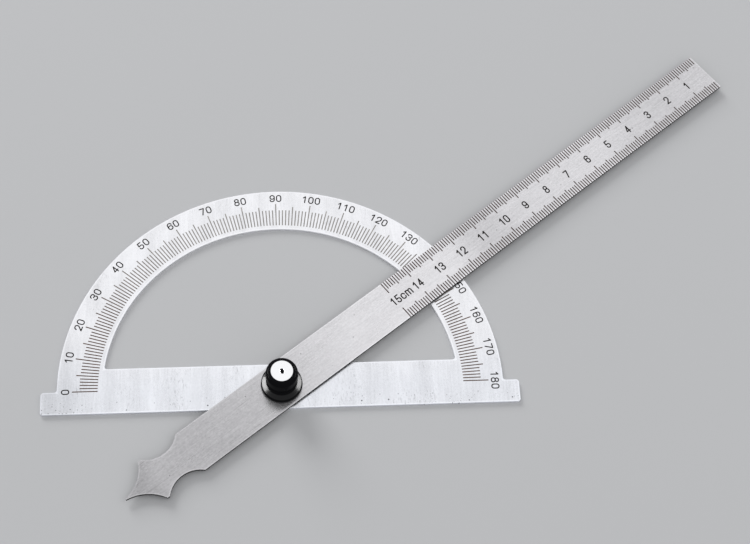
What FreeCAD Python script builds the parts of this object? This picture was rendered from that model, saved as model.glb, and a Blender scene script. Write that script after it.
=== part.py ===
import FreeCAD, Part
import math
import os
import Sketcher
from FreeCAD import Placement, Rotation, Vector

# Angle finder: a half-round protractor plate, and a ruler arm that turns on a stud in the
# middle of the plate's base bar and is locked there by a turned knob.
# The origin is on the pivot's axis, in the plane that the plate lies on. +Z is up, the
# base bar lies along X and its long reference edge faces -Y. Lengths are in millimetres.

driving_sizes = {
    # Protractor plate
    "plate_thickness": 1.0,
    "arc_radius": 74.5,
    "window_radius": 59.5,
    "bar_front": 8.0,
    "bar_back": 8.0,
    "bar_half_length": 79.8,
    "window_corner_radius": 0.9,
    "lug_corner_radius": 1.0,
    "lug_root_radius": 0.9,
    # Degree scale on the plate
    "degree_mark_start": 61.0,
    "degree_mark_length": 6.0,
    "five_degree_mark_length": 7.4,
    "ten_degree_mark_length": 8.5,
    "degree_digit_lift": 0.8,
    "degree_digit_height": 2.8,
    "degree_digit_stroke": 0.4,
    "degree_digit_width_share": 0.67,
    "degree_digit_gap_share": 0.15,
    # Ruler arm
    "arm_thickness": 1.0,
    "arm_width": 16.0,
    "arm_reach": 200.0,
    "arm_rest_angle": 37.0,
    "tip_corner_radius": 0.4,
    "tail_reach": 64.3,
    "tail_point_width": 0.3,
    "spike_front": 53.5,
    "scallop_far": 52.6,
    "scallop_near": 38.2,
    "scallop_depth": 3.15,
    "nose_radius": 14.4,
    # Centimetre scale on the arm
    "scale_length": 150.0,
    "mark_pitch": 1.0,
    "mark_length": 3.0,
    "five_mark_length": 3.7,
    "ten_mark_length": 4.4,
    "cm_digit_height": 3.2,
    "cm_digit_stroke": 0.46,
    "cm_digit_width_share": 0.56,
    "cm_digit_gap_share": 0.1,
    # Both scales
    "mark_width": 0.38,
    "mark_depth": 0.1,
    # Broken edges of the sheet metal
    "edge_break": 0.12,
    # Pivot
    "bearing_radius": 2.5,
    "running_clearance": 0.05,
    "spacer_thickness": 0.3,
    "spacer_radius": 7.0,
    "head_radius": 3.5,
    "head_flat": 2.9,
    "head_thickness": 0.5,
    "thread_radius": 2.0,
    "thread_clearance": 0.05,
    "thread_top_gap": 0.6,
    "thread_chamfer": 0.4,
    "clamp_gap": 0.1,
    # Captive washer under the knob
    "washer_radius": 6.95,
    "washer_thickness": 0.8,
    "ledge_thickness": 0.4,
    "lip_radius": 3.4,
    "lip_thickness": 0.2,
    # Lock knob
    "spigot_radius": 3.0,
    "flange_radius": 6.85,
    "flange_thickness": 0.8,
    "flange_rise": 1.75,
    "flange_edge_radius": 0.25,
    "neck_radius": 4.8,
    "barrel_radius": 5.35,
    "barrel_low": 5.4,
    "knob_height": 10.4,
    "knob_roof": 2.0,
    "shoulder_radius": 2.0,
    "flare_radius": 0.9,
    "barrel_edge_radius": 0.3,
    "dimple_radius": 0.6,
    "dimple_depth": 0.45,
    # Length by which cutting shapes run past a face
    "overrun": 0.5,
}

doc = FreeCAD.newDocument("angle_finder")
sheet = doc.addObject("Spreadsheet::Sheet", "sizes")
for row, (alias, value) in enumerate(driving_sizes.items(), start=1):
    sheet.set("A%d" % row, alias)
    sheet.set("B%d" % row, str(value))
    sheet.setAlias("B%d" % row, alias)
doc.recompute()


def size(alias):
    return float(sheet.get(alias))


# Heights of the stack on the pivot, written as expressions of the sizes
plate_top = "sizes.plate_thickness"
arm_underside = plate_top + " + sizes.spacer_thickness"
arm_top = arm_underside + " + sizes.arm_thickness"
knob_seat = arm_top + " + sizes.washer_thickness"
bore_roof = knob_seat + " + sizes.knob_height - sizes.knob_roof"
stud_top = bore_roof + " - sizes.thread_top_gap"


def bind(target, path, expression):
    target.setExpression(path, expression)


def origin_item(body, role):
    return next(item for item in body.Origin.OriginFeatures if item.Role == role)


def new_body(label):
    body = doc.addObject("PartDesign::Body", label)
    body.Label = label
    return body


def new_sketch(body, role, height=None):
    sketch = body.newObject("Sketcher::SketchObject", body.Label + "_sketch")
    sketch.AttachmentSupport = [(origin_item(body, role), "")]
    sketch.MapMode = "FlatFace"
    if height:
        bind(sketch, "AttachmentOffset.Base.z", height)
    return sketch


def constrain(sketch, kind, places, expression):
    index = sketch.addConstraint(Sketcher.Constraint(kind, *places, value_of(expression)))
    bind(sketch, "Constraints[%d]" % index, expression)


# Closed outline of straight lines. Each corner is a pair of expressions, and the lines
# start from the corners' real places so that the solver has nothing to search for.
def draw_polygon(sketch, corners):
    places = [Vector(value_of(x), value_of(y), 0) for x, y in corners]
    count = len(corners)
    for index in range(count):
        line = Part.LineSegment(places[index], places[(index + 1) % count])
        sketch.addGeometry(line, False)
    for index in range(count):
        after = (index + 1) % count
        sketch.addConstraint(Sketcher.Constraint("Coincident", index, 2, after, 1))
    for index, (x, y) in enumerate(corners):
        constrain(sketch, "DistanceX", (-1, 1, index, 1), x)
        constrain(sketch, "DistanceY", (-1, 1, index, 1), y)


def value_of(expression):
    return float(sheet.evalExpression(expression.replace("sizes.", "")))


def draw_rectangle(sketch, left, right, low, high):
    draw_polygon(sketch, [(left, low), (right, low), (right, high), (left, high)])


def draw_circle(sketch, radius, x="0", y="0"):
    centre = Vector(value_of(x), value_of(y), 0)
    index = sketch.addGeometry(Part.Circle(centre, Vector(0, 0, 1), value_of(radius)), False)
    constrain(sketch, "Radius", (index,), radius)
    if x == "0" and y == "0":
        sketch.addConstraint(Sketcher.Constraint("Coincident", index, 3, -1, 1))
    else:
        constrain(sketch, "DistanceX", (-1, 1, index, 3), x)
        constrain(sketch, "DistanceY", (-1, 1, index, 3), y)


# Arc about the origin closed by a chord at the given height above the X axis
def draw_segment(sketch, radius, height):
    reach = value_of(radius)
    rise = math.asin(value_of(height) / reach)
    circle = Part.Circle(Vector(0, 0, 0), Vector(0, 0, 1), reach)
    arc = sketch.addGeometry(Part.ArcOfCircle(circle, rise, math.pi - rise), False)
    half_chord = reach * math.cos(rise)
    left = Vector(-half_chord, value_of(height), 0)
    right = Vector(half_chord, value_of(height), 0)
    chord = sketch.addGeometry(Part.LineSegment(left, right), False)
    sketch.addConstraint(Sketcher.Constraint("Coincident", arc, 3, -1, 1))
    sketch.addConstraint(Sketcher.Constraint("Coincident", arc, 2, chord, 1))
    sketch.addConstraint(Sketcher.Constraint("Coincident", arc, 1, chord, 2))
    sketch.addConstraint(Sketcher.Constraint("Horizontal", chord))
    constrain(sketch, "Radius", (arc,), radius)
    if height == "0":
        sketch.addConstraint(Sketcher.Constraint("PointOnObject", chord, 1, -1))
    else:
        constrain(sketch, "DistanceY", (-1, 1, chord, 1), height)


# Circle about the origin with a flat on each side
def draw_double_flat(sketch, radius, flat):
    reach = value_of(radius)
    rise = math.asin(value_of(flat) / reach)
    circle = Part.Circle(Vector(0, 0, 0), Vector(0, 0, 1), reach)
    right = sketch.addGeometry(Part.ArcOfCircle(circle, -rise, rise), False)
    left = sketch.addGeometry(Part.ArcOfCircle(circle, math.pi - rise, math.pi + rise), False)
    half_chord = reach * math.cos(rise)
    for side, start, end in ((1, (right, 2), (left, 1)), (-1, (left, 2), (right, 1))):
        level = side * value_of(flat)
        line = Part.LineSegment(
            Vector(side * half_chord, level, 0), Vector(-side * half_chord, level, 0)
        )
        index = sketch.addGeometry(line, False)
        sketch.addConstraint(Sketcher.Constraint("Coincident", index, 1, *start))
        sketch.addConstraint(Sketcher.Constraint("Coincident", index, 2, *end))
        sketch.addConstraint(Sketcher.Constraint("Horizontal", index))
        sign = "" if side > 0 else "-"
        constrain(sketch, "DistanceY", (-1, 1, index, 1), sign + flat)
    for arc in (right, left):
        sketch.addConstraint(Sketcher.Constraint("Coincident", arc, 3, -1, 1))
    sketch.addConstraint(Sketcher.Constraint("Equal", right, left))
    constrain(sketch, "Radius", (right,), radius)


def pad(body, sketch, height):
    feature = body.newObject("PartDesign::Pad", body.Label + "_pad")
    feature.Profile = sketch
    bind(feature, "Length", height)
    doc.recompute()


# A pocket cuts upwards from its sketch, and has to take metal away
def pocket(body, sketch, height):
    before = body.Shape.Volume
    feature = body.newObject("PartDesign::Pocket", body.Label + "_pocket")
    feature.Profile = sketch
    feature.Reversed = True
    bind(feature, "Length", height)
    doc.recompute()
    if body.Shape.Volume >= before:
        raise RuntimeError(body.Label + ": a pocket cuts nothing")
    return feature


def revolve(body, sketch):
    feature = body.newObject("PartDesign::Revolution", body.Label + "_turned")
    feature.Profile = sketch
    feature.ReferenceAxis = (sketch, ["V_Axis"])
    feature.Angle = 360
    doc.recompute()


# Fillet or chamfer on the edges of the body's shape that the test picks
def dress(body, kind, amount, picked):
    edges = body.Shape.Edges
    names = ["Edge%d" % (index + 1) for index, edge in enumerate(edges) if picked(edge)]
    if not names:
        raise RuntimeError(body.Label + ": no edge to dress")
    base = body.Tip
    feature = body.newObject("PartDesign::" + kind, body.Label + "_" + kind.lower())
    feature.Base = (base, names)
    bind(feature, "Radius" if kind == "Fillet" else "Size", amount)
    body.Tip = feature
    doc.recompute()


def upright(edge):
    ends = [vertex.Point for vertex in edge.Vertexes]
    return len(ends) == 2 and (ends[0] - ends[1]).cross(Vector(0, 0, 1)).Length < tiny_length


def middle(edge):
    return edge.valueAt((edge.FirstParameter + edge.LastParameter) / 2)


def near(value, target):
    return abs(value - target) < tiny_length


# Round edge at one radius and height of a turned piece
def ring_at(edge, radius, height):
    point = middle(edge)
    return near(math.hypot(point.x, point.y), radius) and near(point.z, height)


# Two lengths closer than this share of the plate's size count as equal
tiny_share = 1e-6
tiny_length = tiny_share * size("arc_radius")


def make_plate_blank():
    body = new_body("plate_blank")
    sketch = new_sketch(body, "XY_Plane")
    draw_segment(sketch, "sizes.arc_radius", "0")
    pad(body, sketch, plate_top)
    sketch = new_sketch(body, "XY_Plane")
    draw_rectangle(
        sketch, "-sizes.bar_half_length", "sizes.bar_half_length", "-sizes.bar_front", "0"
    )
    pad(body, sketch, plate_top)
    sketch = new_sketch(body, "XY_Plane")
    draw_segment(sketch, "sizes.window_radius", "sizes.bar_back")
    pocket(body, sketch, plate_top)

    def window_corner(edge):
        return upright(edge) and near(middle(edge).y, size("bar_back"))

    def lug_corner(edge):
        return upright(edge) and near(abs(middle(edge).x), size("bar_half_length"))

    def lug_root(edge):
        point = middle(edge)
        on_arc = near(abs(point.x), size("arc_radius"))
        return upright(edge) and on_arc and near(point.y, 0)

    dress(body, "Fillet", "sizes.window_corner_radius", window_corner)
    dress(body, "Fillet", "sizes.lug_corner_radius", lug_corner)
    dress(body, "Fillet", "sizes.lug_root_radius", lug_root)

    def sheet_edge(edge):
        level = middle(edge).z
        flat = near(edge.BoundBox.ZLength, 0)
        return flat and (near(level, 0) or near(level, size("plate_thickness")))

    dress(body, "Fillet", "sizes.edge_break", sheet_edge)
    sketch = new_sketch(body, "XY_Plane")
    draw_circle(sketch, "sizes.bearing_radius")
    pocket(body, sketch, plate_top)
    sketch = new_sketch(body, "XY_Plane")
    draw_double_flat(sketch, "sizes.head_radius", "sizes.head_flat")
    pocket(body, sketch, "sizes.head_thickness")
    return body


def make_arm_blank():
    body = new_body("arm_blank")
    half_width = "sizes.arm_width / 2"
    sketch = new_sketch(body, "XY_Plane")
    draw_rectangle(sketch, "-sizes.tail_reach", "sizes.arm_reach", "-" + half_width, half_width)
    pad(body, sketch, "sizes.arm_thickness")

    # Scallop behind the spike: its radius follows from its chord and its depth
    half_chord = "(sizes.scallop_far - sizes.scallop_near) / 2"
    radius = "((%s)^2 + sizes.scallop_depth^2) / (2 * sizes.scallop_depth)" % half_chord
    across = "-(sizes.scallop_far + sizes.scallop_near) / 2"
    up = half_width + " - sizes.scallop_depth + " + radius
    sketch = new_sketch(body, "XY_Plane")
    draw_circle(sketch, radius, across, up)
    scallop = pocket(body, sketch, "sizes.arm_thickness")

    # Hollow side of the pointed nose: a circle through the point and the spike
    tip = Vector(-size("tail_reach"), size("tail_point_width") / 2, 0)
    spike = Vector(-size("spike_front"), size("arm_width") / 2, 0)
    chord = spike - tip
    outward = Vector(-chord.y, chord.x, 0).normalize()
    stand_off = math.sqrt(size("nose_radius") ** 2 - (chord.Length / 2) ** 2)
    centre = (tip + spike) / 2 + outward * stand_off
    sketch = new_sketch(body, "XY_Plane")
    circle = Part.Circle(centre, Vector(0, 0, 1), size("nose_radius"))
    hollow = sketch.addGeometry(circle, False)
    constrain(sketch, "Radius", (hollow,), "sizes.nose_radius")
    ends = (
        (tip, "-sizes.tail_reach", "sizes.tail_point_width / 2"),
        (spike, "-sizes.spike_front", half_width),
    )
    for place, x, y in ends:
        point = sketch.addGeometry(Part.Point(place), True)
        constrain(sketch, "DistanceX", (-1, 1, point, 1), x)
        constrain(sketch, "DistanceY", (-1, 1, point, 1), y)
        sketch.addConstraint(Sketcher.Constraint("PointOnObject", point, 1, hollow))
    nose = pocket(body, sketch, "sizes.arm_thickness")

    mirror = body.newObject("PartDesign::Mirrored", "tail_mirror")
    mirror.Originals = [scallop, nose]
    mirror.MirrorPlane = (origin_item(body, "XZ_Plane"), [""])
    body.Tip = mirror
    doc.recompute()

    def tip_corner(edge):
        return upright(edge) and near(middle(edge).x, size("arm_reach"))

    dress(body, "Fillet", "sizes.tip_corner_radius", tip_corner)

    # The short flats of the point and the spikes stay sharp
    def sheet_edge(edge):
        point = middle(edge)
        flat = near(edge.BoundBox.ZLength, 0)
        outer = near(point.z, 0) or near(point.z, size("arm_thickness"))
        return flat and outer and point.x > -size("scallop_near")

    dress(body, "Fillet", "sizes.edge_break", sheet_edge)
    sketch = new_sketch(body, "XY_Plane")
    draw_circle(sketch, "sizes.bearing_radius + sizes.running_clearance")
    pocket(body, sketch, "sizes.arm_thickness")
    return body


def make_pivot_stud():
    body = new_body("pivot_stud")
    sketch = new_sketch(body, "XY_Plane")
    draw_double_flat(sketch, "sizes.head_radius", "sizes.head_flat")
    pad(body, sketch, "sizes.head_thickness")
    sketch = new_sketch(body, "XY_Plane")
    draw_circle(sketch, "sizes.bearing_radius")
    pad(body, sketch, arm_top + " - sizes.clamp_gap")
    sketch = new_sketch(body, "XY_Plane")
    draw_circle(sketch, "sizes.thread_radius")
    pad(body, sketch, stud_top)

    def thread_end(edge):
        return ring_at(edge, size("thread_radius"), value_of(stud_top))

    dress(body, "Chamfer", "sizes.thread_chamfer", thread_end)
    return body


def make_spacer_washer():
    body = new_body("spacer_washer")
    sketch = new_sketch(body, "XY_Plane", plate_top)
    draw_circle(sketch, "sizes.spacer_radius")
    draw_circle(sketch, "sizes.bearing_radius + sizes.running_clearance")
    pad(body, sketch, "sizes.spacer_thickness")
    return body


# Washer that the knob carries: a ledge inside its bore rests on the knob's rolled lip
def make_clamp_washer():
    body = new_body("clamp_washer")
    bore = "sizes.spigot_radius + sizes.running_clearance"
    counterbore = "sizes.lip_radius + sizes.running_clearance"
    ledge = knob_seat + " - sizes.ledge_thickness"
    sketch = new_sketch(body, "XZ_Plane")
    draw_polygon(sketch, [
        (counterbore, arm_top),
        ("sizes.washer_radius", arm_top),
        ("sizes.washer_radius", knob_seat),
        (bore, knob_seat),
        (bore, ledge),
        (counterbore, ledge),
    ])
    revolve(body, sketch)

    def rim(edge):
        levels = (value_of(arm_top), value_of(knob_seat))
        return any(ring_at(edge, size("washer_radius"), level) for level in levels)

    dress(body, "Fillet", "sizes.edge_break", rim)
    return body


# The flange is a cone that slopes down to its rim, and a flare joins it to the neck
def make_lock_knob():
    body = new_body("lock_knob")
    bore = "sizes.thread_radius + sizes.thread_clearance"
    lip_top = knob_seat + " - sizes.ledge_thickness - sizes.running_clearance"
    lip_low = lip_top + " - sizes.lip_thickness"
    rim_top = knob_seat + " + sizes.flange_thickness"
    flange_top = rim_top + " + sizes.flange_rise"
    barrel_low = knob_seat + " + sizes.barrel_low"
    knob_top = knob_seat + " + sizes.knob_height"
    sketch = new_sketch(body, "XZ_Plane")
    draw_polygon(sketch, [
        ("0", bore_roof),
        (bore, bore_roof),
        (bore, lip_low),
        ("sizes.lip_radius", lip_low),
        ("sizes.lip_radius", lip_top),
        ("sizes.spigot_radius", lip_top),
        ("sizes.spigot_radius", knob_seat),
        ("sizes.flange_radius", knob_seat),
        ("sizes.flange_radius", rim_top),
        ("sizes.neck_radius", flange_top),
        ("sizes.neck_radius", barrel_low),
        ("sizes.barrel_radius", barrel_low),
        ("sizes.barrel_radius", knob_top),
        ("sizes.dimple_radius", knob_top),
        ("0", knob_top + " - sizes.dimple_depth"),
    ])
    revolve(body, sketch)
    dressed_rings = (
        ("shoulder_radius", "barrel_radius", knob_top),
        ("flare_radius", "neck_radius", flange_top),
        ("barrel_edge_radius", "barrel_radius", barrel_low),
        ("barrel_edge_radius", "neck_radius", barrel_low),
        ("flange_edge_radius", "flange_radius", rim_top),
        ("edge_break", "flange_radius", knob_seat),
    )
    for amount, radius, height in dressed_rings:
        def ring(edge):
            return ring_at(edge, size(radius), value_of(height))

        dress(body, "Fillet", "sizes." + amount, ring)
    return body


# Centre lines of the figures, as paths of corners. A corner is its place across and up the
# figure and its rounding, all as shares: across and rounding of the width, up of the height.
# A path marked True is a closed loop.
six_shares = (
    (True, ((0, 0, 0.5), (1, 0, 0.5), (1, 0.6, 0.5), (0, 0.6, 0.5))),
    (False, ((0, 0.3, 0), (0, 1, 0.55), (1, 1, 0.55), (0.97, 0.74, 0))),
)
figure_shares = {
    "0": ((True, ((0, 0, 0.5), (1, 0, 0.5), (1, 1, 0.5), (0, 1, 0.5))),),
    "1": ((False, ((0.2, 0.76, 0), (0.64, 1, 0), (0.64, 0, 0))),),
    "2": ((False, ((0, 0.7, 0), (0, 1, 0.5), (1, 1, 0.5), (1, 0.55, 0.3), (0, 0, 0), (1, 0, 0))),),
    "3": (
        (False, ((0, 0.78, 0), (0, 1, 0.5), (1, 1, 0.5), (1, 0.54, 0.5), (0.35, 0.54, 0))),
        (False, ((0.35, 0.54, 0), (1, 0.54, 0.5), (1, 0, 0.5), (0, 0, 0.5), (0, 0.24, 0))),
    ),
    "4": (
        (False, ((0.74, 1, 0), (0, 0.27, 0), (1.05, 0.27, 0))),
        (False, ((0.74, 1, 0), (0.74, 0, 0))),
    ),
    "5": (
        (False, (
            (0.92, 1, 0), (0.14, 1, 0), (0.04, 0.5, 0),
            (1, 0.64, 0.5), (1, 0, 0.5), (0, 0, 0.5), (0, 0.24, 0),
        )),
    ),
    "6": six_shares,
    "7": ((False, ((0, 1, 0), (1, 1, 0), (0.34, 0, 0))),),
    "8": (
        (True, ((0, 0, 0.5), (1, 0, 0.5), (1, 0.54, 0.5), (0, 0.54, 0.5))),
        (True, ((0.07, 0.54, 0.5), (0.93, 0.54, 0.5), (0.93, 1, 0.5), (0.07, 1, 0.5))),
    ),
    "9": tuple(
        (closed, tuple((1 - x, 1 - y, rounding) for x, y, rounding in path))
        for closed, path in six_shares
    ),
    "c": (
        (False, (
            (1, 0.5, 0), (1, 0.72, 0.5), (0, 0.72, 0.5), (0, 0, 0.5), (1, 0, 0.5), (1, 0.22, 0),
        )),
    ),
    "m": (
        (False, ((0, 0.72, 0), (0, 0, 0))),
        (False, ((0, 0.42, 0), (0, 0.72, 0.4), (0.8, 0.72, 0.4), (0.8, 0, 0))),
        (False, ((0.8, 0.42, 0), (0.8, 0.72, 0.4), (1.6, 0.72, 0.4), (1.6, 0, 0))),
    ),
}


# Start, middle and end of the arc that rounds one corner of a path. The rounding gives way
# where the two runs are too short for it.
def corner_arc(before, place, after, rounding, room):
    into = (place - before).normalize()
    out = (after - place).normalize()
    turn = into.getAngle(out)
    reach = min(rounding * math.tan(turn / 2), room)
    radius = reach / math.tan(turn / 2)
    sagitta = radius * (1 / math.cos(turn / 2) - 1)
    return place - into * reach, place + (out - into).normalize() * sagitta, place + out * reach


# Wire along a path of places, each with its rounding
def centre_line(places, roundings, closed):
    count = len(places)
    arcs = {}
    for index in range(count):
        free_end = not closed and index in (0, count - 1)
        if free_end or not roundings[index]:
            continue
        rooms = []
        for step in (-1, 1):
            beside = (index + step) % count
            share = 2 if roundings[beside] else 1
            rooms.append((places[beside] - places[index]).Length / share)
        before, after = places[index - 1], places[(index + 1) % count]
        arcs[index] = corner_arc(before, places[index], after, roundings[index], min(rooms))
    edges = []
    for index in range(count if closed else count - 1):
        after = (index + 1) % count
        start = arcs[index][2] if index in arcs else places[index]
        end = arcs[after][0] if after in arcs else places[after]
        if start.distanceToPoint(end) > tiny_length:
            edges.append(Part.makeLine(start, end))
        if after in arcs:
            edges.append(Part.Arc(*arcs[after]).toShape())
    return Part.Wire(edges)


# Straight stroke with round ends
def slot_face(start, end, half):
    along = (end - start).normalize() * half
    side = Vector(-along.y, along.x, 0)
    edges = [
        Part.makeLine(start + side, end + side),
        Part.Arc(end + side, end + along, end - side).toShape(),
        Part.makeLine(end - side, start - side),
        Part.Arc(start - side, start - along, start + side).toShape(),
    ]
    return Part.Face(Part.Wire(edges))


# Face of a path drawn with a round pen
def stroke_face(places, roundings, closed, stroke):
    half = stroke / 2
    if len(places) == 2:
        return slot_face(places[0], places[1], half)
    line = centre_line(places, roundings, closed)
    outer = Part.Face(line.makeOffset2D(half, 0, False, False))
    if closed:
        return outer.cut(Part.Face(line.makeOffset2D(-half, 0, False, False)))
    return outer


# Ink of one figure, which starts at the origin: its strokes joined into one body
def figure_shape(figure, width, height, stroke, thickness):
    pen = stroke / 2
    across, up = width - stroke, height - stroke
    strokes = []
    for closed, path in figure_shares[figure]:
        places = [Vector(pen + x * across, pen + y * up, 0) for x, y, rounding in path]
        roundings = [rounding * across for x, y, rounding in path]
        face = stroke_face(places, roundings, closed, stroke)
        strokes.append(face.extrude(Vector(0, 0, thickness)))
    if len(strokes) == 1:
        return strokes[0]
    return strokes[0].fuse(strokes[1:]).removeSplitter()


# Row of figures along X with the numerals centred on the origin and their feet on Y = 0
def row_of_figures(text, style, shapes):
    height = size(style + "_digit_height")
    width = height * size(style + "_digit_width_share")
    gap = height * size(style + "_digit_gap_share")
    stroke = size(style + "_digit_stroke")
    numerals = [figure for figure in text if figure.isdigit()]
    place = -(len(numerals) * (width + gap) - gap) / 2
    row = []
    for figure in text:
        if figure not in shapes:
            shapes[figure] = figure_shape(figure, width, height, stroke, size("mark_depth"))
        copy = shapes[figure].copy()
        copy.translate(Vector(place, 0, 0))
        row += copy.Solids
        wide = max(x for closed, path in figure_shares[figure] for x, y, rounding in path)
        place += (width - stroke) * max(wide, 1) + stroke + gap
    return row


def mark_length(number, short, five, ten):
    if number % 10 == 0:
        return size(ten)
    return size(five) if number % 5 == 0 else size(short)


# Paint of the 181 marks, from 0 at -X clockwise to 180 at +X
def make_degree_lines():
    floor = size("plate_thickness") - size("mark_depth")
    solids = []
    for degree in range(181):
        length = mark_length(
            degree, "degree_mark_length", "five_degree_mark_length", "ten_degree_mark_length"
        )
        start = Vector(size("degree_mark_start"), -size("mark_width") / 2, floor)
        mark = Part.makeBox(length, size("mark_width"), size("mark_depth"), start)
        mark.rotate(Vector(0, 0, 0), Vector(0, 0, 1), 180 - degree)
        solids.append(mark)
    return keep_shape("degree_lines", solids)


# Paint of the numerals 0 to 180, every ten degrees, with their tops outwards
def make_degree_numbers():
    floor = size("plate_thickness") - size("mark_depth")
    feet = size("degree_mark_start") + size("ten_degree_mark_length") + size("degree_digit_lift")
    figures = {}
    solids = []
    for degree in range(0, 181, 10):
        for solid in row_of_figures(str(degree), "degree", figures):
            solid.translate(Vector(0, feet, floor))
            solid.rotate(Vector(0, 0, 0), Vector(0, 0, 1), 90 - degree)
            solids.append(solid)
    return keep_shape("degree_numbers", solids)


# Cutting shapes of the marks along both edges of the arm, counted from its square tip.
# They run past the edge and the top, and the paint is what they share with the metal: one
# mark of each length is trimmed, and its copies fill the rest.
def make_cm_lines(blank):
    floor = size("arm_thickness") - size("mark_depth")
    half_width = size("arm_width") / 2
    overrun = size("overrun")
    trimmed = {}
    cutters = []
    paint = []
    for step in range(1, round(size("scale_length") / size("mark_pitch")) + 1):
        length = mark_length(step, "mark_length", "five_mark_length", "ten_mark_length")
        left = size("arm_reach") - step * size("mark_pitch") - size("mark_width") / 2
        for low in (half_width - length, -half_width - overrun):
            mark = Part.makeBox(size("mark_width"), length + overrun, size("mark_depth") + overrun)
            mark.translate(Vector(left, low, floor))
            cutters.append(mark)
            if (low, length) not in trimmed:
                trimmed[low, length] = (left, blank.Shape.common(mark).Solids[0])
            first_left, first_mark = trimmed[low, length]
            copy = first_mark.copy()
            copy.translate(Vector(left - first_left, 0, 0))
            paint.append(copy)
    return cutters, keep_shape("cm_lines", paint)


# Paint of the centimetre numerals, with the unit after the last one
def make_cm_numbers():
    floor = size("arm_thickness") - size("mark_depth")
    centimetre = 10 * size("mark_pitch")
    last = math.floor(size("scale_length") / centimetre + tiny_share)
    figures = {}
    solids = []
    for number in range(1, last + 1):
        text = str(number) + ("cm" if number == last else "")
        across = size("arm_reach") - number * centimetre
        for solid in row_of_figures(text, "cm", figures):
            solid.translate(Vector(across, -size("cm_digit_height") / 2, floor))
            solids.append(solid)
    return keep_shape("cm_numbers", solids)


def keep_shape(label, solids):
    feature = doc.addObject("Part::Feature", label)
    feature.Label = label
    feature.Shape = Part.makeCompound(solids)
    return feature


# Sheet metal with its recesses, hundreds of them, all cut in one pass
def cut_recesses(label, blank, cutters):
    return keep_shape(label, blank.Shape.cut(cutters).Solids)


# Puts a piece that is drawn with the arm along X and its underside at Z = 0 in its place
def lay_on_spacer(feature):
    turn = Rotation(Vector(0, 0, 1), size("arm_rest_angle"))
    feature.Placement = Placement(Vector(0, 0, 0), turn)
    bind(feature, "Placement.Base.z", arm_underside)


turned_pieces = [make_pivot_stud(), make_spacer_washer(), make_clamp_washer(), make_lock_knob()]
plate_blank = make_plate_blank()
arm_blank = make_arm_blank()

degree_lines = make_degree_lines()
degree_numbers = make_degree_numbers()
degree_cutters = degree_lines.Shape.Solids + degree_numbers.Shape.Solids
protractor_plate = cut_recesses("protractor_plate", plate_blank, degree_cutters)

cm_line_cutters, cm_lines = make_cm_lines(arm_blank)
cm_numbers = make_cm_numbers()
ruler_arm = cut_recesses("ruler_arm", arm_blank, cm_line_cutters + cm_numbers.Shape.Solids)
arm_pieces = [ruler_arm, cm_lines, cm_numbers]
for piece in arm_pieces:
    lay_on_spacer(piece)

nodes = [protractor_plate, degree_lines, degree_numbers] + arm_pieces + turned_pieces
doc.recompute()

for item in doc.Objects:
    if "Invalid" in item.State or "Error" in item.State:
        raise RuntimeError("failed object: " + item.Label)
shapes = {node.Label: node.Shape for node in nodes}
for label, shape in shapes.items():
    if shape.isNull() or not shape.isValid():
        raise RuntimeError("bad shape: " + label)

os.makedirs("parts", exist_ok=True)
for label, shape in shapes.items():
    shape.exportStep("parts/" + label + ".step")
    low, high = shape.BoundBox.ZMin, shape.BoundBox.ZMax
    volume = shape.Volume
    print("%s: %d solids, %.2f mm3, z %.3f to %.3f" % (label, len(shape.Solids), volume, low, high))
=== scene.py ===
import math

import bmesh
import bpy
import numpy as np
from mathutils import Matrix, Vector


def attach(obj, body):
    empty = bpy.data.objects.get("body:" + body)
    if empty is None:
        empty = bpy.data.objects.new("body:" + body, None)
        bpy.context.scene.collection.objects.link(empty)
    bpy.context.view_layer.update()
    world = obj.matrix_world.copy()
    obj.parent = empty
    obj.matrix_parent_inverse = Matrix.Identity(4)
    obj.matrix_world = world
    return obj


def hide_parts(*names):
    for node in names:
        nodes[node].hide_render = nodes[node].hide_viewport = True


# Angle finder: a half round degree plate, a ruler arm that swings on its stud, and a lock knob.
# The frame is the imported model's, in metres: the plate lies on the floor with its long edge
# towards -Y, and the pivot stands on +Z. Sizes in the dictionaries are in millimetres, but for
# the studio's. A pattern there is its waves in a millimetre along X, Y and Z, its layers of
# detail, and how rough these are. A fade is the two places between which it runs.

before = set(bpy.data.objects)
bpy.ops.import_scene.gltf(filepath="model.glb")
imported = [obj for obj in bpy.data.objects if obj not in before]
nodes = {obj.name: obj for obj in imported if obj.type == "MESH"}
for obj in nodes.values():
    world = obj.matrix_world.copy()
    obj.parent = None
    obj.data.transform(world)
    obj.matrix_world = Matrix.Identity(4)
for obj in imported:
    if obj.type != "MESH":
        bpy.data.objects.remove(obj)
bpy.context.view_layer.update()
mm = 0.001

# Camera

cameraValues = {
    "place": (-10.48, -248.72, 573.49),
    "turn": (27.0309, -2.8379, -3.0623),    # degrees about X, Y and Z
    "lens": 89.46,                          # for a picture 36 wide
    "pictureWidth": 36.0,
    "clip": (10.0, 20000.0),
}


def makeCamera(v):
    data = bpy.data.cameras.new("camera")
    data.sensor_fit = "HORIZONTAL"
    data.sensor_width = v["pictureWidth"]
    data.lens = v["lens"]
    data.clip_start, data.clip_end = (distance * mm for distance in v["clip"])
    camera = bpy.data.objects.new("camera", data)
    camera.location = [along * mm for along in v["place"]]
    camera.rotation_euler = [math.radians(turn) for turn in v["turn"]]
    bpy.context.collection.objects.link(camera)
    bpy.context.scene.camera = camera


makeCamera(cameraValues)
print("camera set at the photographed angle")

# Shader maths


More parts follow.
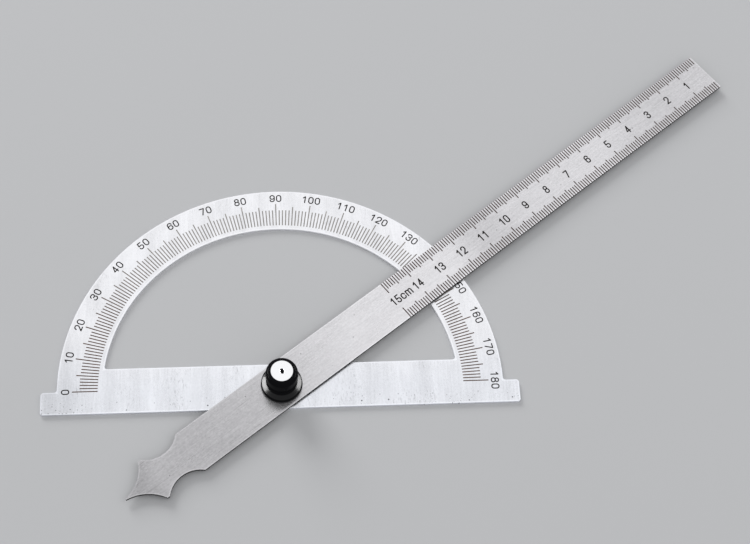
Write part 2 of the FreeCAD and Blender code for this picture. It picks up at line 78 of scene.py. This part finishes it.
class Wire:
    # A node's output that takes part in plain sums: each operator adds a Math node.
    def __init__(self, finish, socket):
        self.finish = finish
        self.socket = socket

    def maths(self, operation, *terms):
        return self.finish.node("Math", {"operation": operation}, dict(enumerate(terms)))

    def __add__(self, other):
        return self.maths("ADD", self, other)

    def __sub__(self, other):
        return self.maths("SUBTRACT", self, other)

    def __rsub__(self, other):
        return self.maths("SUBTRACT", other, self)

    def __mul__(self, other):
        return self.maths("MULTIPLY", self, other)

    def __pow__(self, other):
        return self.maths("POWER", self, other)

    def __neg__(self):
        return self * -1

    def __abs__(self):
        return self.maths("ABSOLUTE", self)

    __radd__ = __add__

    def least(self, other):
        return self.maths("MINIMUM", self, other)

    def most(self, other):
        return self.maths("MAXIMUM", self, other)

    def eased(self, low, high):             # 0 at low, 1 at high, and smooth between them
        settings = {"interpolation_type": "SMOOTHSTEP"}
        links = {"Value": self, "From Min": low, "From Max": high}
        return self.finish.node("MapRange", settings, links)

    def steps(self, table):                 # the sum of smooth steps of (start, end, change)
        return sum(self.eased(start, end) * change for start, end, change in table)


class Finish:
    # The node tree of one material, or of the world. Patterns lie on Object coordinates.
    def __init__(self, owner):
        self.owner = owner
        self.owner.use_nodes = True
        self.tree = self.owner.node_tree
        self.tree.nodes.clear()

    def node(self, kind, settings, links, output=0):
        made = self.tree.nodes.new("ShaderNode" + kind)
        for key, value in settings.items():
            setattr(made, key, value)
        for key, value in links.items():
            if isinstance(value, Wire):
                self.tree.links.new(value.socket, made.inputs[key])
            else:
                made.inputs[key].default_value = value
        return Wire(self, made.outputs[output]) if made.outputs else None

    def beside(self, wire, output):         # another output of the same node
        return Wire(self, wire.socket.node.outputs[output])

    def place(self):                        # where the surface is, in millimetres
        metres = self.node("TexCoord", {}, {}, "Object")
        links = {"Vector": metres, "Scale": 1 / mm}
        return self.node("VectorMath", {"operation": "SCALE"}, links)

    def split(self, vector):
        first = self.node("SeparateXYZ", {}, {"Vector": vector})
        return [self.beside(first, axis) for axis in "XYZ"]

    def turned(self, vector, degrees):
        links = {"Vector": vector, "Angle": math.radians(degrees)}
        return self.node("VectorRotate", {"rotation_type": "Z_AXIS"}, links)

    def noise(self, vector, perMm, detail, rough):
        stretched = self.node("VectorMath", {"operation": "MULTIPLY"}, {0: vector, 1: perMm})
        links = {"Vector": stretched, "Scale": 1.0, "Detail": detail, "Roughness": rough}
        return self.node("TexNoise", {}, links)

    def pits(self, vector, spacing, radius, share, smallest=0.3, core=0.4, softness=0.02):
        # Round specks of many sizes: the cells of a Voronoi pattern, a share of them kept.
        # The smallest speck is a part of the radius, and the core a part of each speck.
        links = {"Vector": vector, "Scale": 1 / spacing}
        distance = self.node("TexVoronoi", {"voronoi_dimensions": "2D"}, links)
        kept, grown, _ = self.split(self.beside(distance, "Color"))
        size = (grown * (1 - smallest) + smallest) * (radius / spacing)
        return distance.eased(size, size * core) * kept.eased(1 - share, 1 + softness - share)

    def shaded(self, colour, tone):
        return self.node("VectorMath", {"operation": "SCALE"}, {"Vector": colour, "Scale": tone})

    def mixed(self, factor, first, second):
        links = {0: factor, 6: (*first, 1), 7: (*second, 1)}
        return self.node("Mix", {"data_type": "RGBA"}, links, 2)

    def bumped(self, height):               # height in millimetres
        return self.node("Bump", {}, {"Height": height, "Distance": mm, "Strength": 1.0})

    def surface(self, links):
        shader = self.node("BsdfPrincipled", {}, links)
        self.node("OutputMaterial", {}, {"Surface": shader})
        return self.owner


def newFinish(name):
    return Finish(bpy.data.materials.new(name))


def plainFinish(name, v):
    # A broad pattern shades the colour, and a fine one makes the relief
    finish = newFinish(name)
    place = finish.place()
    broad = finish.noise(place, *v["broad"])
    fine = finish.noise(place, *v["fine"])
    return finish.surface({
        "Base Color": finish.shaded(v["colour"], v["tone"] + broad * v["broadTone"]),
        "Metallic": v["metallic"],
        "Roughness": v["roughness"] + broad * v["broadRough"] + fine * v["fineRough"],
        "Normal": finish.bumped(fine * v["fineHeight"]),
    })


def wear(node, material):
    nodes[node].data.materials.clear()
    nodes[node].data.materials.append(material)


# Protractor plate

plateValues = {
    "colour": (0.788, 0.801, 0.84),
    "arcColour": (0.795, 0.796, 0.818),
    "arcFade": (-3, 22),                    # along Y
    "arcTone": 0.10,
    "endFades": ((-50, -72, -0.06), (-66, -80, -0.16)),     # along X, with the change of tone
    "brightest": 1.17,                      # so that no spot is as bright as the room
    "arc": 74.5,
    "window": 59.5,
    "bar": 8.0,
    "halfLength": 79.8,
    "band": ((0.22, 0.02, 0.1), 2.0, 0.5),
    "bandTone": 0.30,
    "streak": ((1.3, 0.12, 1.0), 3.0, 0.7),
    "streakTone": 0.24,
    "streakHeight": 0.006,
    "cloud": ((0.08, 0.07, 0.1), 3.0, 0.6),
    "cloudTone": 0.22,
    "grain": ((1.5, 1.2, 1.0), 3.0, 0.6),
    "grainTone": 0.22,
    "grainHeight": 0.002,
    "patch": ((0.07, 0.07, 0.1), 2.0, 0.5),
    "patchFade": (0.52, 0.66),
    "stain": ((1.6, 0.45, 1.0), 2.0, 0.6),
    "stainFade": (0.54, 0.66),
    "stainTone": 0.20,
    "pits": (3.0, 0.38, 0.36),              # spacing, largest radius, share kept
    "specks": (1.2, 0.26, 0.4),
    "pitFade": (-1.5, -6.0),                # along Y: they gather at the long edge
    "leftFade": (-60, -70),                 # along X: the specks grow thick at the left end
    "rightFade": (-30, 55),                 # and fainter towards the right
    "rightShare": 0.4,
    "pitTone": 0.75,
    "pitDepth": 0.03,
    "roughness": 0.27,
    "cloudRough": 0.15,
    "edgeRough": 0.25,
    "pitRough": 0.25,
    # the colour along the outline is brightened: a painted highlight
    "edgeHighlight": 0.22,
    "edgeWidth": 0.7,
    "edgeFull": 0.05,                       # the painted highlight on the rim fades from here to the edge's width
    "edgeDrop": 0.02,
}


def plateSteel(v):
    finish = newFinish("plateSteel")
    place = finish.place()
    x, y, _ = finish.split(place)
    radius = (x * x + y * y) ** 0.5
    # Distance inwards from the nearest outline: arc and lugs together, long edge, window
    lug = (-y).least(v["halfLength"] - abs(x))
    outside = (v["arc"] - radius).most(lug)
    window = (radius - v["window"]).most(v["bar"] - y)
    inward = outside.least(y + v["bar"]).least(window)
    rim = inward.eased(v["edgeWidth"], v["edgeFull"])
    band = finish.noise(place, *v["band"])
    streak = finish.noise(place, *v["streak"])
    cloud = finish.noise(place, *v["cloud"])
    grain = finish.noise(place, *v["grain"])
    # Grey marks: short upright dashes that gather in a few patches
    patch = finish.noise(place, *v["patch"]).eased(*v["patchFade"])
    stain = finish.noise(place, *v["stain"]).eased(*v["stainFade"]) * patch
    edge = y.eased(*v["pitFade"])
    pits = finish.pits(place, *v["pits"]) * edge
    ends = (x.eased(*v["rightFade"]) * v["rightShare"]).most(x.eased(*v["leftFade"]))
    specks = finish.pits(place, *v["specks"]) * edge * ends
    tone = 1 + (band - 0.5) * v["bandTone"] + (streak - 0.5) * v["streakTone"]
    tone = tone + (cloud - 0.5) * v["cloudTone"] + (grain - 0.5) * v["grainTone"]
    # The rim gets a painted highlight; stains and pits are darker
    tone = tone + rim * v["edgeHighlight"] - stain * v["stainTone"] - pits.most(specks) * v["pitTone"]
    # The left end of the bar is duller, and the arc is brighter and less blue
    arc = y.eased(*v["arcFade"])
    tone = (tone + x.steps(v["endFades"]) + arc * v["arcTone"]).least(v["brightest"])
    height = streak * v["streakHeight"] + grain * v["grainHeight"] - pits * v["pitDepth"]
    rough = v["roughness"] + (cloud - 0.5) * v["cloudRough"]
    return finish.surface({
        "Base Color": finish.shaded(finish.mixed(arc, v["colour"], v["arcColour"]), tone),
        "Metallic": 1.0,
        "Roughness": rough + rim * v["edgeRough"] + pits * v["pitRough"],
        "Normal": finish.bumped(height + inward.eased(0, v["edgeWidth"]) * v["edgeDrop"]),
    })


wear("protractor_plate", plateSteel(plateValues))
print("plate steel made")

# Ruler arm

armValues = {
    "colour": (0.663, 0.654, 0.669),
    "tone": 0.70,
    # Painted sheen and shade along the arm: a duller tail, a painted highlight over the middle, and
    # painted rises and falls further out: start, end, change of tone
    "waves": ((-49, -60, -0.14), (-40, 52, 0.43), (75, 88, -0.20), (94, 106, 0.09),
              (105, 135, 0.05), (140, 176, -0.17), (180, 196, 0.03)),
    "restAngle": 37.0,
    "halfWidth": 8.0,
    "reach": 200.0,
    "scallop": (-45.4, 14.653, 9.803),      # middle along, middle across, radius
    "nose": (-66.402, 14.396, 14.4),
    "streak": ((0.14, 1.8, 1.0), 3.0, 0.65),
    "streakTone": 0.30,
    "streakHeight": 0.005,
    "cloud": ((0.05, 0.10, 0.1), 3.0, 0.6),
    "cloudTone": 0.16,
    "grain": ((1.3, 1.6, 1.0), 3.0, 0.6),
    "grainTone": 0.36,
    "grainHeight": 0.0015,
    "scratch": ((0.06, 2.0, 1.0), 1.0, 0.5),
    "scratchFade": (0.69, 0.74),
    "scratchTone": 0.12,
    "pits": (6.0, 0.4, 0.2),                # spacing, largest radius, share kept
    "pitTone": 0.35,
    "pitDepth": 0.03,
    "roughness": 0.27,
    "cloudRough": 0.15,
    "edgeRough": 0.3,
    "pitRough": 0.2,
    # the colour along the outline is brightened: a painted highlight
    "edgeHighlight": 0.22,
    "edgeWidth": 0.6,
    "edgeFull": 0.05,
    "edgeDrop": 0.01,
    "sideFade": (2.26, 2.19),               # heights: below them the sides are painted dark, a painted shade and dark reflection
    "sideWidth": (1.2, 0.6),
    "sideShadeTone": 0.93,
}


def armSteel(v):
    finish = newFinish("armSteel")
    place = finish.turned(finish.place(), -v["restAngle"])
    along, across, z = finish.split(place)
    side = abs(across)
    inward = (v["halfWidth"] - side).least(v["reach"] - along)
    for middle, out, radius in (v["scallop"], v["nose"]):
        gap = ((along - middle) ** 2 + (side - out) ** 2) ** 0.5 - radius
        inward = inward.least(gap)
    rim = inward.eased(v["edgeWidth"], v["edgeFull"])
    streak = finish.noise(place, *v["streak"])
    cloud = finish.noise(place, *v["cloud"])
    grain = finish.noise(place, *v["grain"])
    scratch = finish.noise(place, *v["scratch"]).eased(*v["scratchFade"])
    pits = finish.pits(place, *v["pits"])
    # Painted sheen and shade: the tone steps up and down along the arm
    tone = v["tone"] + along.steps(v["waves"]) + (streak - 0.5) * v["streakTone"]
    tone = tone + (cloud - 0.5) * v["cloudTone"] + (grain - 0.5) * v["grainTone"]
    # The rim gets a painted highlight; scratches and pits are darker
    tone = tone + rim * v["edgeHighlight"] - scratch * v["scratchTone"] - pits * v["pitTone"]
    # Painted shade: the arm's sides, its edge break and a strip of underside along the outline are
    # darkened
    paintedSideShade = z.eased(*v["sideFade"]) * inward.eased(*v["sideWidth"])
    tone = tone * (1 - paintedSideShade * v["sideShadeTone"])
    height = streak * v["streakHeight"] + grain * v["grainHeight"] - pits * v["pitDepth"]
    rough = v["roughness"] + (cloud - 0.5) * v["cloudRough"]
    return finish.surface({
        "Base Color": finish.shaded(v["colour"], tone),
        "Metallic": 1.0,
        "Roughness": rough + rim * v["edgeRough"] + pits * v["pitRough"],
        "Normal": finish.bumped(height + inward.eased(0, v["edgeWidth"]) * v["edgeDrop"]),
    })


wear("ruler_arm", armSteel(armValues))
print("arm steel made")

# Filled marks and figures

paintValues = {
    "figures": (0.009, 0.007, 0.006),
    "marks": (0.05, 0.03, 0.024),
    "degreeMarks": (0.10, 0.062, 0.046),
    "paleMarks": (0.30, 0.285, 0.27),       # the marks at the top of the arc
    "upperFade": (18, 62),                  # along Y
    "rub": ((0.5, 0.5, 0.5), 4.0, 0.7),
    "wornFade": (0.45, 0.75),
    "wornTone": 0.6,
    "grain": ((5.0, 5.0, 5.0), 2.0, 0.5),
    "grainRough": 0.3,
    "grainHeight": 0.005,
    "roughness": 0.55,
    "gloss": 0.12,
}


def scalePaint(name, v, lower, upper):
    finish = newFinish(name)
    place = finish.place()
    y = finish.split(place)[1]
    rub = finish.noise(place, *v["rub"])
    grain = finish.noise(place, *v["grain"])
    base = finish.mixed(y.eased(*v["upperFade"]), v[lower], v[upper])
    return finish.surface({
        "Base Color": finish.shaded(base, 1 + rub.eased(*v["wornFade"]) * v["wornTone"]),
        "Roughness": v["roughness"] + (grain - 0.5) * v["grainRough"],
        "Specular IOR Level": v["gloss"],
        "Normal": finish.bumped(grain * v["grainHeight"]),
    })


figurePaint = scalePaint("figurePaint", paintValues, "figures", "figures")
degreePaint = scalePaint("degreePaint", paintValues, "degreeMarks", "paleMarks")
rulerPaint = scalePaint("rulerPaint", paintValues, "marks", "marks")
wear("degree_numbers", figurePaint)
wear("cm_numbers", figurePaint)
wear("degree_lines", degreePaint)
wear("cm_lines", rulerPaint)
print("mark paint made")

# Turned pieces: a profile of radius and height, carried once round the pivot's axis

meshValues = {
    "arcSteps": 9,
    "beside": 0.02,
    "columns": 144,
    "weld": 1e-4,
    "speck": 1e-5,                          # an edge shorter than this is taken out
    "sharp": 32,                            # degrees
}


def profile(corners, closed, v):
    # Each corner (radius, height, rounding) becomes an arc that touches both of its runs:
    # its centre lies on the bisector, rounding / sin(half angle) from the corner. One more
    # row beside each end of the arc keeps the runs flat.
    table = np.array(corners, float)
    points, roundings = table[:, :2], table[:, 2]
    count = len(points)
    rows = []
    for i in range(count):
        here, rounding = points[i], roundings[i]
        if rounding == 0:
            rows.append(here[None, :])
            continue
        back = points[(i - 1) % count] - here
        on = points[(i + 1) % count] - here
        back, on = back / np.linalg.norm(back), on / np.linalg.norm(on)
        half = math.acos(float(back @ on)) / 2
        centre = here + (back + on) / np.linalg.norm(back + on) * rounding / math.sin(half)
        start, end = (here + way * rounding / math.tan(half) for way in (back, on))
        first = math.atan2(*(start - centre)[::-1])
        sweep = (math.atan2(*(end - centre)[::-1]) - first + math.pi) % (2 * math.pi) - math.pi
        angle = first + sweep * np.linspace(0, 1, v["arcSteps"])
        arc = centre + rounding * np.stack([np.cos(angle), np.sin(angle)], axis=1)
        before, after = start + back * v["beside"], end + on * v["beside"]
        rows += [before[None, :], arc, after[None, :]]
    line = np.concatenate(rows)
    return np.concatenate([line, line[:1]]) if closed else line


def gridPiece(name, radius, height, angle, body, material):
    # The surface point of row i and column j is radius[i, j] out from the axis, at angle[j]
    # round it and height[i, j] up. Rows on the axis close in one point each.
    shape = radius.shape
    x, y = radius * np.cos(angle), radius * np.sin(angle)
    places = np.stack([x, y, height * np.ones(shape)], axis=2).reshape(-1, 3) * mm
    rows, columns = shape
    here = np.arange(rows * columns).reshape(shape)
    right = np.roll(here, -1, axis=1)
    quads = np.stack([here[:-1], right[:-1], right[1:], here[1:]], axis=2).reshape(-1, 4)
    mesh = bpy.data.meshes.new(name)
    mesh.from_pydata(places.tolist(), [], quads.tolist())
    return finishedPiece(name, mesh, body, material, meshValues)


def finishedPiece(name, mesh, body, material, v):
    work = bmesh.new()
    work.from_mesh(mesh)
    bmesh.ops.remove_doubles(work, verts=work.verts, dist=v["weld"] * mm)
    bmesh.ops.dissolve_degenerate(work, edges=work.edges, dist=v["speck"] * mm)
    bmesh.ops.recalc_face_normals(work, faces=work.faces)
    work.to_mesh(mesh)
    work.free()
    mesh.shade_smooth()
    mesh.set_sharp_from_angle(angle=math.radians(v["sharp"]))
    mesh.materials.append(material)
    piece = bpy.data.objects.new(name, mesh)
    bpy.context.collection.objects.link(piece)
    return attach(piece, body)


def turnedPiece(name, corners, closed, body, material, columns=meshValues["columns"], wobble=None):
    line = profile(corners, closed, meshValues)
    angle = np.linspace(0, 2 * math.pi, columns, endpoint=False)
    radius = line[:, :1] * np.ones((1, columns))
    height = line[:, 1:] * np.ones((1, columns))
    if wobble is not None:
        radius = wobble(radius, height, angle)
    return gridPiece(name, radius, height, angle, body, material)


# Lock knob

knobValues = {
    "black": (0.008, 0.008, 0.009),
    "bright": (0.92, 0.92, 0.925),
    "gloss": 0.003,
    "roughness": 0.06,
    "rings": ((9.0, 9.0, 1.0), 3.0, 0.6),   # on radius and height
    "ringRough": 0.06,
    "ringHeight": 0.0012,
    "smudge": ((0.35, 0.35, 0.35), 3.0, 0.6),
    "smudgeRough": 0.06,
    "faceRough": 0.12,
    "faceFade": (3.69, 3.63),               # radii where the bright face ends
    "faceHeights": (13.40, 13.46),
    "coneStart": (5.15, 5.4),               # radii between which the clear coat comes
    "coneEnd": (6.62, 6.45),                # and goes
    "coneHeights": (6.4, 6.2),
    "coat": 0.28,
    "coatRoughness": 0.27,
    "columns": 192,
}

knobCorners = (
    (0, 13.05, 0), (0.95, 13.5, 0.08),                              # centre mark
    (5.35, 13.5, 2.0), (5.35, 8.5, 0.28),                           # barrel
    (4.8, 8.5, 0.22), (4.8, 5.65, 0.9),                             # waist
    (6.85, 3.9, 0.25), (6.85, 3.1, 0.12), (3.0, 3.1, 0),            # cone and flange
    (3.0, 2.65, 0), (3.4, 2.65, 0.03), (3.4, 2.45, 0.03),           # lip that holds the washer
    (2.05, 2.45, 0.1), (2.05, 11.5, 0), (0, 11.5, 0),               # blind bore
)

dimpleValues = {
    "radius": 1.5,                          # it lies inside this, and above this height
    "height": 12,
    "waves": ((0.1, 1, 1.0), (0.2, 2, -3.7), (0.05, 5, 0.0)),       # size, waves in a turn, start
}


def knobMetal(v):
    # Black all over but for the bright turned face. The cone at the foot is coated.
    finish = newFinish("knobMetal")
    place = finish.place()
    x, y, z = finish.split(place)
    radius = (x * x + y * y) ** 0.5
    face = radius.eased(*v["faceFade"]) * z.eased(*v["faceHeights"])
    cone = radius.eased(*v["coneStart"]) * radius.eased(*v["coneEnd"]) * z.eased(*v["coneHeights"])
    turning = finish.node("CombineXYZ", {}, {"X": radius, "Y": z})
    rings = finish.noise(turning, *v["rings"])
    smudge = finish.noise(place, *v["smudge"])
    rough = v["roughness"] + rings * v["ringRough"] + (smudge - 0.5) * v["smudgeRough"]
    return finish.surface({
        "Base Color": finish.mixed(face, v["black"], v["bright"]),
        "Metallic": face,
        "Specular IOR Level": v["gloss"],
        "Roughness": rough + face * v["faceRough"],
        "Coat Weight": cone * v["coat"],
        "Coat Roughness": v["coatRoughness"],
        "Normal": finish.bumped(rings * v["ringHeight"]),
    })


def dimpleWobble(radius, height, angle):
    # The centre mark is ragged: its radius grows and shrinks round the axis, by
    # the sum of size * cos(waves * angle + start)
    near = (radius < dimpleValues["radius"]) & (height > dimpleValues["height"])
    ragged = sum(size * np.cos(waves * angle + start) for size, waves, start in dimpleValues["waves"])
    return radius * (1 + near * ragged)


knobMaterial = knobMetal(knobValues)
knob = turnedPiece("lockKnob", knobCorners, False, "knob", knobMaterial, knobValues["columns"],
                   dimpleWobble)
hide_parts("lock_knob")
print("lock knob turned")

# Clamp washer under the knob

washerValues = {
    "colour": (0.008, 0.008, 0.009),
    "tone": 1.6,
    "metallic": 1.0,
    "roughness": 0.14,
    "broad": ((0.5, 0.5, 0.5), 3.0, 0.6),
    "broadTone": 0.8,
    "broadRough": 0.1,
    "fine": ((0.4, 0.4, 9.0), 2.0, 0.5),
    "fineRough": 0,
    "fineHeight": 0.0016,
}

washerCorners = (
    (3.45, 2.3, 0.03), (6.95, 2.3, 0.12), (6.95, 3.1, 0.12), (3.05, 3.1, 0.03),
    (3.05, 2.7, 0), (3.45, 2.7, 0),
)

washerMaterial = plainFinish("washerMetal", washerValues)
washer = turnedPiece("clampWasher", washerCorners, True, "washer", washerMaterial)
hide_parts("clamp_washer")
print("clamp washer turned")

# Spacer between plate and arm

spacerValues = {
    "colour": (0.62, 0.6, 0.55),
    "tone": 0.9,
    "metallic": 0,
    "roughness": 0.45,
    "broad": ((0.6, 0.6, 0.6), 3.0, 0.5),
    "broadTone": 0.2,
    "broadRough": 0,
    "fine": ((12.0, 12.0, 12.0), 2.0, 0.5),
    "fineRough": 0.15,
    "fineHeight": 0.004,
}

spacerCorners = ((2.55, 1.0, 0.03), (7.0, 1.0, 0.06), (7.0, 1.3, 0.06), (2.55, 1.3, 0.03))

spacerMaterial = plainFinish("nylon", spacerValues)
spacer = turnedPiece("spacerWasher", spacerCorners, True, "protractor", spacerMaterial)
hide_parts("spacer_washer")
print("spacer made")

# Pivot stud: flatted head, plain bearing, and a thread up to the knob

studValues = {
    "colour": (0.55, 0.55, 0.56),
    "tone": 0.85,
    "metallic": 1.0,
    "roughness": 0.22,
    "broad": ((0.5, 0.5, 0.5), 3.0, 0.6),
    "broadTone": 0.3,
    "broadRough": 0,
    "fine": ((0.3, 0.3, 11.0), 2.0, 0.5),
    "fineRough": 0.2,
    "fineHeight": 0.0024,
    "headRadius": 3.5, "headFlat": 2.9, "headTop": 0.5,
    "bearing": 2.5, "bearingTop": 2.2,
    "crest": 2.0, "root": 1.62, "pitch": 0.7, "top": 10.9, "chamfer": 0.4,
    "flank": 1.3, "rootFlat": 0.1,          # steepness of the thread's wave, and its flat bottom
    "runStart": 0.15, "runLength": 0.35,    # above the bearing, where the thread grows
    "columns": 96, "rows": 176,
}


def makeStud(v):
    # Head: radius is the smaller of the head's and flat / |sin angle|. Thread: at each height
    # and angle the radius follows a triangle wave of height / pitch - angle / turn.
    turn = 2 * math.pi
    flatEnd = math.asin(v["headFlat"] / v["headRadius"])
    corner = np.array([flatEnd, math.pi - flatEnd, math.pi + flatEnd, turn - flatEnd])
    even = np.linspace(0, turn, v["columns"], endpoint=False)
    angle = np.unique(np.concatenate([even, corner]))
    one = np.ones_like(angle)
    head = np.minimum(v["headRadius"], v["headFlat"] / np.maximum(np.abs(np.sin(angle)), 1e-6))
    low = [(0, 0 * one), (0, head), (v["headTop"], head),
           (v["headTop"], v["bearing"] * one), (v["bearingTop"], v["bearing"] * one)]
    heights = np.linspace(v["bearingTop"], v["top"], v["rows"])
    phase = (heights[:, None] / v["pitch"] - angle[None, :] / turn) % 1
    wave = np.clip(v["flank"] * np.abs(2 * phase - 1) - v["rootFlat"], 0, 1)
    run = np.clip((heights - v["bearingTop"] - v["runStart"]) / v["runLength"], 0, 1)[:, None]
    thread = v["root"] + (v["crest"] - v["root"]) * wave * run
    limit = v["crest"] - np.maximum(0, heights - (v["top"] - v["chamfer"]))
    thread = np.minimum(thread, limit[:, None])
    radius = np.concatenate([np.array([out for up, out in low]), thread, 0 * one[None, :]])
    height = np.concatenate([np.array([up * one for up, out in low]), heights[:, None] * one,
                             v["top"] * one[None, :]])
    return gridPiece("pivotStud", radius, height, angle, "protractor", plainFinish("studSteel", v))


stud = makeStud(studValues)
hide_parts("pivot_stud")
print("pivot stud threaded")

# Floor and studio light

studioValues = {                            # places and sizes in metres
    "floor": (0.56, 0.565, 0.575),
    "floorTone": 0.995,
    "floorCloud": ((0.02, 0.02, 0.02), 2.0, 0.5),
    "floorCloudTone": 0.01,
    "floorRoughness": 0.9,
    "floorHalf": 1.6,
    "floorHeight": -0.00002,
    "room": (0.985, 0.99, 1.0),
    "world": 0.6,
    "aim": (0.03, 0.04, 0),
    "key": {"place": (-1.0, 2.0, 1.0), "side": 1.1, "tall": 1.1, "power": 36.0},
    "fill": {"place": (0.9, -0.2, 0.9), "side": 0.9, "tall": 0.9, "power": 1.5},
    "left": {"place": (-0.9, 0.27, 0.2), "side": 0.9, "tall": 0.45, "power": 62.0},
    "right": {"place": (0.9, 0.32, 0.2), "side": 0.9, "tall": 0.45, "power": 43.0},
}


def makeFloor(v):
    finish = newFinish("floorPaper")
    cloud = finish.noise(finish.place(), *v["floorCloud"])
    paper = finish.surface({
        "Base Color": finish.shaded(v["floor"], v["floorTone"] + cloud * v["floorCloudTone"]),
        "Roughness": v["floorRoughness"],
    })
    half = v["floorHalf"]
    ways = ((-1, -1), (1, -1), (1, 1), (-1, 1))
    mesh = bpy.data.meshes.new("floor")
    mesh.from_pydata([(x * half, y * half, v["floorHeight"]) for x, y in ways], [], [(0, 1, 2, 3)])
    mesh.materials.append(paper)
    floor = bpy.data.objects.new("floor", mesh)
    bpy.context.collection.objects.link(floor)


def makeLamp(name, v, lit=None):
    # A lamp with a lit piece shines on that piece alone: a panel for its side reflections.
    # The others aren't mirrored, so that bright steel never clips.
    data = bpy.data.lights.new(name, "AREA")
    data.shape = "RECTANGLE"
    data.size = v["side"]
    data.size_y = v["tall"]
    data.energy = v["power"]
    lamp = bpy.data.objects.new(name, data)
    lamp.location = v["place"]
    towards = Vector(studioValues["aim"]) - Vector(v["place"])
    lamp.rotation_euler = towards.to_track_quat("-Z", "Y").to_euler()
    bpy.context.collection.objects.link(lamp)
    lamp.visible_glossy = lit is not None
    if lit is not None:
        group = bpy.data.collections.new(name + "Lit")
        group.objects.link(lit)
        lamp.light_linking.receiver_collection = group
        lamp.visible_camera = False
        lamp.visible_diffuse = False


def makeWorld(v):
    # The camera and the mirroring metal see the whole room's light, and the rest a part of it
    world = bpy.data.worlds.new("room")
    bpy.context.scene.world = world
    room = Finish(world)
    seen = room.node("LightPath", {}, {}, "Is Camera Ray")
    mirrored = room.beside(seen, "Is Glossy Ray").most(room.beside(seen, "Is Transmission Ray"))
    light = room.node("Background", {}, {"Color": (*v["room"], 1), "Strength": v["world"]})
    shown = room.node("Background", {}, {"Color": (*v["room"], 1), "Strength": 1.0})
    room.node("OutputWorld", {}, {
        "Surface": room.node("MixShader", {}, {0: seen.most(mirrored), 1: light, 2: shown}),
    })


makeFloor(studioValues)
makeLamp("keyLamp", studioValues["key"])
makeLamp("fillLamp", studioValues["fill"])
makeLamp("leftPanel", studioValues["left"], knob)
makeLamp("rightPanel", studioValues["right"], knob)
makeWorld(studioValues)
bpy.context.scene.view_settings.view_transform = "Standard"
print("floor and lamps placed")
